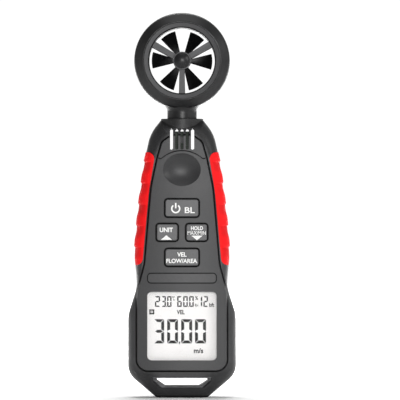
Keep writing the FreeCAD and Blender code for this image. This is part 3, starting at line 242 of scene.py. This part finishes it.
def spider_plastic():
    """The spider's plastic, with a painted shade line where its rim and spokes meet the duct's wall.
    """
    g = plastic("spider_plastic", "525253", rough=0.45, specular=0.2, reach=0.4)
    low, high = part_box("front_hub_cap")
    x, z = g.axis("X"), g.math("SUBTRACT", g.axis("Z"), (low[2] + high[2]) / 2)
    radius = g.math("SQRT", g.math("ADD", g.math("MULTIPLY", x, x), g.math("MULTIPLY", z, z)))
    start, end = ([r * MM for r in limits] for limits in (SHADE_LINE_START, SHADE_LINE_END))
    # Painted shade: a thin dark ring along the rim's inner edge.
    shade_line = g.math("MULTIPLY", g.spread(radius, *end, 1.0, 0.0), g.spread(radius, *start))
    plain = g.shader.inputs["Base Color"].links[0].from_socket
    g.link(g.mix(shade_line, plain, linear("0c0c0d")), "Base Color")
    return g


def slot_bevel_light(g, aside, y, z):
    """Where painted light goes: 1 on the lanyard slot's sloping rim, 0 elsewhere. Aside is counted
    from the middle.
    """
    slanted = g.math("SUBTRACT", aside, g.math("MULTIPLY", z, BEVEL_SLANT))
    share = g.spread(g.away("Y", g.facing), *BEVEL_TURN)
    for value, (inside, outside) in (
        (z, BEVEL_LOW_Z), (z, BEVEL_HIGH_Z), (slanted, BEVEL_SIDE), (aside, BEVEL_X), (y, BEVEL_Y),
    ):
        low, high = sorted((inside, outside))
        within = g.spread(value, low * MM, high * MM, float(low == inside), float(low != inside))
        share = g.math("MULTIPLY", share, within)
    return share


def case_plastic():
    """The case's plastic, with painted shade over the shoulders, at the foot and in its gaps, painted
    light on the lanyard slot's sloping rim, and a fine dark parting line.
    """
    g = Graph("case_plastic")
    aside, y, z = g.away("X"), g.axis("Y"), g.axis("Z")
    # Painted shade: darker over the shoulders and towards the foot.
    shoulder_shade = g.spread(g.math("ADD", z, g.math("MULTIPLY", aside, -SHOULDER_RISE)), *SHOULDER_Z)
    dark = g.math("MAXIMUM", shoulder_shade, g.spread(z, *FOOT_Z, FOOT_SHADE_SHARE, 0.0))
    cloud = g.noise(CLOUD, detail=4.0)
    speck = g.noise(GRAIN / 2, detail=2.0, rough=0.7)
    seam = g.spread(g.math("ABSOLUTE", y), *SEAM_HALF, 1.0, 0.0)
    # The dark parting line, together with painted shade in gaps and corners.
    gap_darkening = g.math("MAXIMUM", seam, g.crevice())
    colour = linear("323233")
    for share, over in (
        (dark, "0f0f0f"),
        (g.spread(cloud, *MOTTLE, 0.0, 0.16), "4c4c4e"),
        (g.spread(speck, *SPECKS, 0.0, 0.12), "7c7c7e"),
        (g.edges(RUBBED, 0.0, 0.08), "6c6c70"),
        # Painted light: the slot's sloping rim is lightened as if lit.
        (g.math("MULTIPLY", slot_bevel_light(g, aside, y, z), BEVEL_LIGHT_SHARE), "8c8c8e"),
        (gap_darkening, "060606"),
    ):
        colour = g.mix(share, colour, linear(over))
    g.link(colour, "Base Color")
    g.dull(cloud, 0.36, 0.46, gap_darkening)
    grain = g.bump(g.noise(GRAIN, detail=2.0, rough=0.75), 0.02 * MM)
    g.link(g.bump(g.math("MULTIPLY", seam, -1.0), SEAM_DEPTH, grain), "Normal")
    return g.fix(Specular_IOR_Level=0.32)


def rubber(name, colour, rough=0.6, ribs=None):
    """Soft rubber: matte, with a fine leathery bump, darker in its hollows, and with painted shade in
    its crevices.

    Ribs are the foot of the first rib and their pitch: painted shade darkens the hollows between
    them, on faces turned sideways."""
    g = Graph(name)
    base = linear(colour)
    cloud = g.noise(55.0, detail=4.0)
    pores = g.node("TexVoronoi", {"Vector": g.place, "Scale": 2600.0}).outputs["Distance"]
    shade = g.mix(g.spread(cloud, *MOTTLE), tinted(base, 0.9), tinted(base, 1.08))
    if ribs:
        foot, pitch = ribs
        rise = g.math("DIVIDE", g.math("SUBTRACT", g.axis("Z"), foot), pitch)
        phase = g.math("FLOORED_MODULO", rise, 1.0)
        # Painted shade on the recessed bands between ribs, stronger on faces turned sideways.
        side = g.spread(g.away("X", g.facing), *RIB_TURN, 0.0, RIB_DARK)
        rib_shade_band = g.math("MULTIPLY", side, g.spread(phase, *RIB_SHADE))
        shade = g.mix(rib_shade_band, shade, tinted(base, RIB_SHADE_TINT))
    darker_hollows = g.mix(g.edges(HOLLOW, 0.35, 0.0), shade, tinted(base, HOLLOW_TINT))
    # Painted shade in the rubber's crevices.
    gap_darkening = g.math("MULTIPLY", g.crevice(), CREVICE_SHARE)
    g.link(g.mix(gap_darkening, darker_hollows, tinted(base, CREVICE_TINT)), "Base Color")
    g.link(g.spread(cloud, *GLOSS, rough - 0.06, rough + 0.08), "Roughness")
    g.link(g.bump(pores, 0.015 * MM), "Normal")
    return g.fix(Specular_IOR_Level=0.14)


def metal(name, colour, rough=0.32):
    """Plated or brushed metal, streaked along Z, with faint stains."""
    g = Graph(name)
    base = linear(colour)
    stretched = g.node("Mapping", {"Vector": g.place, "Scale": (400.0, 400.0, 3000.0)}).outputs[0]
    lines = g.noise(1.0, detail=4.0, rough=0.7, place=stretched)
    stains = g.noise(160.0, detail=5.0)
    g.link(g.mix(g.spread(stains, 0.35, 0.75), base, tinted(base, 0.7)), "Base Color")
    g.link(g.spread(lines, *MOTTLE, rough - 0.1, rough + 0.14), "Roughness")
    g.link(g.bump(lines, 0.004 * MM), "Normal")
    return g.fix(Metallic=1.0)


def display(name):
    """The pale reflective face of the display, very finely speckled."""
    g = Graph(name)
    speckle = g.noise(3000.0, detail=2.0)
    g.link(g.mix(g.spread(speckle, *MOTTLE), linear("f8f6f5"), linear("fdfbfa")), "Base Color")
    g.link(g.spread(speckle, *MOTTLE, 0.32, 0.42), "Roughness")
    return g.fix(Specular_IOR_Level=0.25)


def clear(name, colour, alpha):
    """A clear moulded lens: it only adds a faint veil, wipe marks and its gloss."""
    g = Graph(name)
    base = linear(colour)
    wipe = g.noise(140.0, detail=5.0)
    g.link(g.mix(g.spread(wipe, *MOTTLE), base, tinted(base, 0.92)), "Base Color")
    g.link(g.spread(wipe, *SPECKS, alpha * 0.85, alpha * 1.15), "Alpha")
    g.link(g.spread(wipe, 0.3, 0.8, 0.05, 0.12), "Roughness")
    return g.fix(IOR=1.49)


def board(name, colour, trace, specular=0.5):
    """Solder mask over copper, with a net of tracks."""
    g = Graph(name)
    base = linear(colour)
    turn = (math.pi / 2, 0.0, 0.0)
    upright = g.node("Mapping", {"Vector": g.place, "Rotation": turn}).outputs[0]
    net = {"Vector": upright, "Scale": 260.0, "Mortar Size": 0.035}
    tracks = g.node("TexBrick", net).outputs["Fac"]
    cloud = g.noise(90.0)
    ground = g.mix(g.spread(cloud, *MOTTLE), base, tinted(base, 0.7))
    g.link(g.mix(tracks, ground, linear(trace)), "Base Color")
    g.link(g.spread(cloud, 0.2, 0.8, 0.22, 0.4), "Roughness")
    g.link(g.bump(tracks, 0.03 * MM), "Normal")
    return g.fix(Specular_IOR_Level=specular)


def jacket(name):
    """A dry cell's jacket: dark with a copper band at one end."""
    g = Graph(name)
    cloud = g.noise(120.0)
    dark = g.mix(cloud, linear("15181c"), linear("24282e"))
    copper = g.mix(cloud, linear("a8622c"), linear("c07a3c"))
    g.link(g.mix(g.spread(g.axis("Z"), *BAND_Z), dark, copper), "Base Color")
    g.link(g.spread(cloud, *MOTTLE, 0.22, 0.34), "Roughness")
    return g.fix(Metallic=0.3)


def printed(name, colour, rough=0.45):
    """Printed ink: slightly uneven in cover and gloss."""
    g = Graph(name)
    base = linear(colour)
    cover = g.noise(2200.0)
    g.link(g.mix(g.spread(cover, *MOTTLE), tinted(base, 0.93), base), "Base Color")
    g.link(g.spread(cover, *MOTTLE, rough - 0.05, rough + 0.08), "Roughness")
    return g


# One material for each of the record's slots.
FINISHES = (
    case_plastic(),
    plastic("panel_plastic", "353536", rough=0.4, specular=0.36, crown=0.15),
    plastic(
        "key_plastic", "575758", rough=0.42, grain=3600.0, depth=0.03, spread=0.18, specular=0.42
    ),
    rubber("grip_rubber", "f9181c", ribs=GRIP_RIBS),
    plastic("ring_plastic", "19191a", rough=0.34, wear=0.05, specular=0.42),
    spider_plastic(),
    plastic("blade_plastic", "0a0a0b", rough=0.6, wear=0.02, specular=0.15),
    clear("clear_lens", "fdfcfb", alpha=0.03),
    plastic("plate_metal", "39393a", rough=0.4, grain=1800.0, crown=0.15),
    display("lcd_glass"),
    plastic("diffuser", "e8e8e6", rough=0.3, depth=0.003),
    plastic("frame_plastic", "c9c9c6", rough=0.45),
    rubber("zebra", "2c2c2e"),
    board("circuit_board", "14502a", "2c7a48"),
    board("dark_board", "101f11", "1a2e1b", specular=0.1),
    plastic("chip_body", "161617", rough=0.4),
    metal("metal_can", "b9babd"),
    rubber("silicone", "1a1a1b", rough=0.5),
    rubber("carbon", "0d0d0d", rough=0.7),
    jacket("cell_jacket"),
    metal("spring_steel", "c4c5c8", rough=0.25),
    metal("steel", "a9abb0", rough=0.3),
    metal("bronze", "a2743a", rough=0.38),
    metal("magnet", "4a4a4e", rough=0.5),
    rubber("wire_jacket", "161617", rough=0.42),
    plastic("flex_tape", "9a5a1c", rough=0.25, depth=0.002),
    plastic("washer_plastic", "d8d8d4", rough=0.4),
)
LEGEND = printed("legend_white", "f4f4f2")
SEGMENT = printed("lcd_segment", "040405", rough=0.5).fix(Specular_IOR_Level=0.15)

MATERIALS = {g.name: g.material for g in FINISHES}
SLOT_OF = {entry["node"]: entry["material_slot"] for entry in frame["record"]["subparts"]}
for name, shown in NODES.items():
    shown.data.materials.clear()
    shown.data.materials.append(MATERIALS[SLOT_OF[name]])


# ---------------------------------------------------------------- legends and display segments
# Their sizes are in millimetres, seen from the front: left and right in X, low and high in Z.

SUNK = 0.01  # how far they go into the face that they stand on
INK, RAISED = 0.02, 0.03  # how far the display's segments and the keys' legends stand out

# The segments that each sign lights, and the gap between segments as a share of their stroke.
LIT = {"0": "abcdef", "1": "bc", "2": "abged", "3": "abgcd", "6": "acdefg"}
SEGMENT_GAP = 0.12

# The upper row: its low and high, the stroke, each sign with its left and right, and the points.
SMALL_ROW, SMALL_STROKE = (45.4, 50.8), 0.7
SMALL_DIGITS = (
    ("2", -13.5, -10.9), ("3", -10.2, -8.0), ("0", -7.4, -5.2),
    ("6", -2.4, -0.1), ("0", 0.6, 2.9), ("0", 3.6, 5.9),
    ("1", 8.6, 10.1), ("2", 10.7, 13.0),
)
SMALL_POINTS = ((-7.95, -7.6, 45.4, 45.85), (3.1, 3.4, 45.4, 45.85))

# The main reading: each sign has its left, right and stroke.
BIG_ROW = (27.2, 39.3)
BIG_DIGITS = (
    ("3", -13.9, -8.9, 1.45), ("0", -7.4, -2.0, 1.5), ("0", -0.4, 5.1, 1.5), ("0", 6.5, 12.0, 1.5),
)
BIG_POINT = ((-1.6, 28.1), (-0.85, 28.1), (-1.1, 26.8), (-1.45, 26.8))

BATTERY_SIGN = (
    (-16.3, -13.8, 43.5, 44.2), (-16.3, -13.8, 41.7, 42.4),
    (-16.3, -15.6, 42.4, 43.5), (-14.5, -13.8, 42.4, 43.5),
    (-15.3, -14.8, 42.7, 43.2),
)

# Piece, text, box (left, right, low, high) and how much bolder the strokes are.
DISPLAY_WORDS = (
    ("lcd_degrees", "°C", (-4.9, -3.6, 48.6, 50.8), 0.02),
    ("lcd_percent", "%", (6.6, 8.0, 48.9, 50.8), 0.02),
    ("lcd_humidity", "RH", (6.5, 8.1, 45.5, 47.0), 0.02),
    ("lcd_force", "bft", (13.6, 16.1, 45.4, 47.4), 0.03),
    ("lcd_velocity", "VEL", (-2.6, 1.4, 41.7, 43.9), 0.035),
    ("lcd_unit", "m/s", (5.9, 10.6, 22.3, 24.9), 0.035),
)
KEY_WORDS = (
    ("power_word", "BL", (1.4, 6.4, 92.2, 95.2), 0.02, "power_key_body"),
    ("unit_word", "UNIT", (-11.1, -4.5, 82.7, 85.0), 0.035, "unit_key_body"),
    ("hold_word", "HOLD", (4.5, 10.5, 83.7, 85.7), 0.035, "hold_key_body"),
    ("peaks_word", "MAX/MIN", (2.8, 11.9, 81.4, 83.3), 0.01, "hold_key_body"),
    ("speed_word", "VEL", (-2.4, 2.3, 70.5, 72.7), 0.03, "mode_key_body"),
    ("flow_word", "FLOW/AREA", (-7.8, 7.6, 67.3, 69.5), 0.03, "mode_key_body"),
)

# The power sign: an open ring (middle, radii, start and end in degrees) and its upright stroke.
POWER_RING = {"x": -3.1, "z": 94.45, "outer": 2.35, "inner": 1.6, "start": 128, "end": 412}
POWER_STROKE = (-3.48, -2.72, 94.6, 97.3)
UNIT_ARROW = ((-10.6, 78.9), (-4.9, 78.9), (-7.75, 81.2))
HOLD_ARROW = ((4.7, 81.0), (7.5, 78.7), (10.3, 81.0))


def new_piece(name, mesh, body, graph):
    """Links a finished mesh into the scene as a piece that rides on a CAD body."""
    piece = bpy.data.objects.new(name, mesh)
    bpy.context.scene.collection.objects.link(piece)
    mesh.materials.append(graph.material)
    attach(piece, body)
    return piece


def plates(name, outlines, face_y, thick, body, graph, slot):
    """Thin raised plates, from outlines in X and Z, that stand on a face turned to -Y."""
    built = bmesh.new()
    for outline in outlines:
        front, back = (
            [built.verts.new((x * MM, y * MM, z * MM)) for x, z in outline]
            for y in (face_y - thick, face_y + SUNK)
        )
        built.faces.new(front)
        built.faces.new(back[::-1])
        for i, j in zip(range(-1, len(outline) - 1), range(len(outline))):
            built.faces.new((front[j], front[i], back[i], back[j]))
    bmesh.ops.triangulate(built, faces=[f for f in built.faces if len(f.verts) > 4])
    bmesh.ops.recalc_face_normals(built, faces=built.faces)
    mesh = bpy.data.meshes.new(name)
    built.to_mesh(mesh)
    built.free()
    return new_piece(name, mesh, body, graph)


def lettering(name, text, box, face_y, thick, body, graph, slot, bold):
    """Raised letters stretched to fill a box, that stand on a face turned to -Y."""
    curve = bpy.data.curves.new(name + "_curve", "FONT")
    curve.body = text
    curve.extrude = 0.01
    curve.offset = bold
    curve.resolution_u = 6
    source = bpy.data.objects.new(name + "_source", curve)
    bpy.context.scene.collection.objects.link(source)
    bpy.context.view_layer.update()
    evaluated = source.evaluated_get(bpy.context.evaluated_depsgraph_get())
    mesh = bpy.data.meshes.new_from_object(evaluated)
    bpy.data.objects.remove(source)
    low = [min(v.co[i] for v in mesh.vertices) for i in range(3)]
    high = [max(v.co[i] for v in mesh.vertices) for i in range(3)]
    left, right, bottom, top = box
    for v in mesh.vertices:
        x, z, out = ((v.co[i] - low[i]) / (high[i] - low[i]) for i in range(3))
        v.co = (
            (left + x * (right - left)) * MM,
            (face_y + SUNK - out * (thick + SUNK)) * MM,
            (bottom + z * (top - bottom)) * MM,
        )
    mesh.name = name
    mesh.materials.clear()
    return new_piece(name, mesh, body, graph)


def digit(sign, left, right, low, high, stroke):
    """Outlines of a seven-segment digit's lit segments."""
    half, gap = stroke / 2, SEGMENT_GAP * stroke
    mid, point = (low + high) / 2, gap + half / 2
    in_left, in_right = left + stroke, right - stroke
    in_high, in_low = high - stroke - gap, low + stroke + gap
    over, under = mid + half, mid - half
    shapes = {
        "a": [
            (left + gap, high), (right - gap, high),
            (in_right - gap, high - stroke), (in_left + gap, high - stroke),
        ],
        "b": [
            (right, high - gap), (right, mid + gap), (in_right, over + gap), (in_right, in_high),
        ],
        "c": [(right, mid - gap), (right, low + gap), (in_right, in_low), (in_right, under - gap)],
        "d": [
            (left + gap, low), (in_left + gap, low + stroke),
            (in_right - gap, low + stroke), (right - gap, low),
        ],
        "e": [(left, mid - gap), (in_left, under - gap), (in_left, in_low), (left, low + gap)],
        "f": [(left, high - gap), (in_left, in_high), (in_left, over + gap), (left, mid + gap)],
        "g": [
            (left + point, mid), (in_left + gap, over), (in_right - gap, over),
            (right - point, mid), (in_right - gap, under), (in_left + gap, under),
        ],
    }
    return [shapes[key] for key in LIT[sign]]


def rectangle(left, right, low, high):
    return [(left, low), (right, low), (right, high), (left, high)]


def ring_parts(x, z, outer, inner, start, end, steps=28):
    """A flat ring's arc as short four-sided outlines."""
    turns = [math.radians(start + (end - start) * i / steps) for i in range(steps + 1)]
    far, near = (
        [(x + r * math.cos(a), z + r * math.sin(a)) for a in turns] for r in (outer, inner)
    )
    return [list(corners) for corners in zip(far, far[1:], near[1:], near)]


def add_display():
    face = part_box("lcd_glass")[0].y / MM
    look = ("case", SEGMENT, "chip_body")
    small = [rectangle(*point) for point in SMALL_POINTS]
    for sign, left, right in SMALL_DIGITS:
        small += digit(sign, left, right, *SMALL_ROW, SMALL_STROKE)
    plates("lcd_small_digits", small, face, INK, *look)
    big = [BIG_POINT]
    for sign, left, right, stroke in BIG_DIGITS:
        big += digit(sign, left, right, *BIG_ROW, stroke)
    plates("lcd_big_digits", big, face, INK, *look)
    plates("lcd_battery_sign", [rectangle(*bar) for bar in BATTERY_SIGN], face, INK, *look)
    for name, text, box, bold in DISPLAY_WORDS:
        lettering(name, text, box, face, INK, *look, bold)


def add_legends():
    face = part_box("power_key")[0].y / MM
    look = (LEGEND, "key_plastic")
    power_sign = ring_parts(**POWER_RING) + [rectangle(*POWER_STROKE)]
    plates("power_sign", power_sign, face, RAISED, "power_key_body", *look)
    plates("unit_arrow", [UNIT_ARROW], face, RAISED, "unit_key_body", *look)
    plates("hold_arrow", [HOLD_ARROW], face, RAISED, "hold_key_body", *look)
    for name, text, box, bold, body in KEY_WORDS:
        lettering(name, text, box, face, RAISED, body, *look, bold)


add_display()
add_legends()


# ---------------------------------------------------------------- floor, light and camera

FLOOR_HALF = 3.3

# Place, the point it is turned to, width across and power.
LIGHTS = {
    "front_light": ((0.15, -2.2, 0.4), (0, 0, 0.1), 0.45, 20.0),
    "right_light": ((1.6, -1.0, 0.9), (0, 0, 0.1), 0.8, 10.0),
    "floor_light": ((0.0, 0.9, 1.5), (0, 2.85, 0), 1.2, 165.0),
    "ceiling_light": ((0.0, 0.0, 3.2), (0, 0, 0), 3.0, 22.0),
}

# The surround's strength by direction: an axis's share of the direction, from and to, and the
# strength there. The last is how much stronger the right side is than the left.
BEHIND, ABOVE, BESIDE = (0.8, 0.98, 0.0, 0.85), (-0.1, 1.0, 0.2, 0.3), (0.8, 1.0, 0.0, 0.45)
RIGHTWARDS = 0.1

# The camera looks along Y at the panel's plane, and sees this width of it.
CAMERA_X, CAMERA_Z, CAMERA_DISTANCE = 0.009, 0.09875, 2.4
PANEL_DEPTH, PICTURE_WIDTH = 0.006, 0.2
SENSOR_WIDTH = 36.0


def add_floor():
    built = bmesh.new()
    bmesh.ops.create_grid(built, x_segments=8, y_segments=8, size=FLOOR_HALF)
    mesh = bpy.data.meshes.new("floor")
    built.to_mesh(mesh)
    built.free()
    floor = bpy.data.objects.new("floor", mesh)
    bpy.context.scene.collection.objects.link(floor)
    floor.location.z = cad_box[0].z
    g = Graph("floor_paper")
    cloud = g.noise(3.0)
    g.link(g.mix(cloud, linear("f6f6f6"), linear("fbfbfb")), "Base Color")
    g.link(g.spread(cloud, *MOTTLE, 0.85, 0.95), "Roughness")
    g.fix(Specular_IOR_Level=0.1)
    mesh.materials.append(g.material)


def add_light(name, place, aim, size, energy):
    lamp = bpy.data.lights.new(name, "AREA")
    lamp.shape = "DISK"
    lamp.size = size
    lamp.energy = energy
    holder = bpy.data.objects.new(name, lamp)
    bpy.context.scene.collection.objects.link(holder)
    holder.location = place
    holder.rotation_euler = (Vector(aim) - Vector(place)).to_track_quat("-Z", "Y").to_euler()


def add_world():
    """A studio surround: white behind the object, pale at its sides, dimmer towards the camera."""
    world = bpy.data.worlds.new("studio")
    bpy.context.scene.world = world
    world.use_nodes = True
    tree = world.node_tree

    def sum_up(operation, *values):
        return add_node(tree, "Math", enumerate(values), operation=operation).outputs[0]

    def ramp(value, *limits):
        return add_node(tree, "MapRange", enumerate((value, *limits))).outputs[0]

    way = add_node(tree, "TexCoord").outputs["Generated"]
    x, y, z = add_node(tree, "SeparateXYZ", {0: way}).outputs
    right = sum_up("MULTIPLY_ADD", x, RIGHTWARDS, ramp(z, *ABOVE))
    around = sum_up("ADD", ramp(y, *BEHIND), ramp(sum_up("ABSOLUTE", x), *BESIDE))
    strength = sum_up("ADD", around, right)
    background = tree.nodes["Background"]
    background.inputs["Color"].default_value = (1.0, 1.0, 1.0, 1.0)
    tree.links.new(strength, background.inputs["Strength"])


def add_camera():
    """A long lens square on to the display, framed as the object sits in its picture."""
    lens = bpy.data.cameras.new("camera")
    lens.sensor_width = SENSOR_WIDTH
    lens.lens = SENSOR_WIDTH * (CAMERA_DISTANCE - PANEL_DEPTH) / PICTURE_WIDTH
    lens.clip_end = 60.0
    camera = bpy.data.objects.new("camera", lens)
    bpy.context.scene.collection.objects.link(camera)
    camera.location = (CAMERA_X, -CAMERA_DISTANCE, CAMERA_Z)
    camera.rotation_euler = (math.pi / 2, 0.0, 0.0)
    bpy.context.scene.camera = camera


add_floor()
add_world()
for name, settings in LIGHTS.items():
    add_light(name, *settings)
add_camera()
bpy.context.scene.view_settings.view_transform = "Standard"
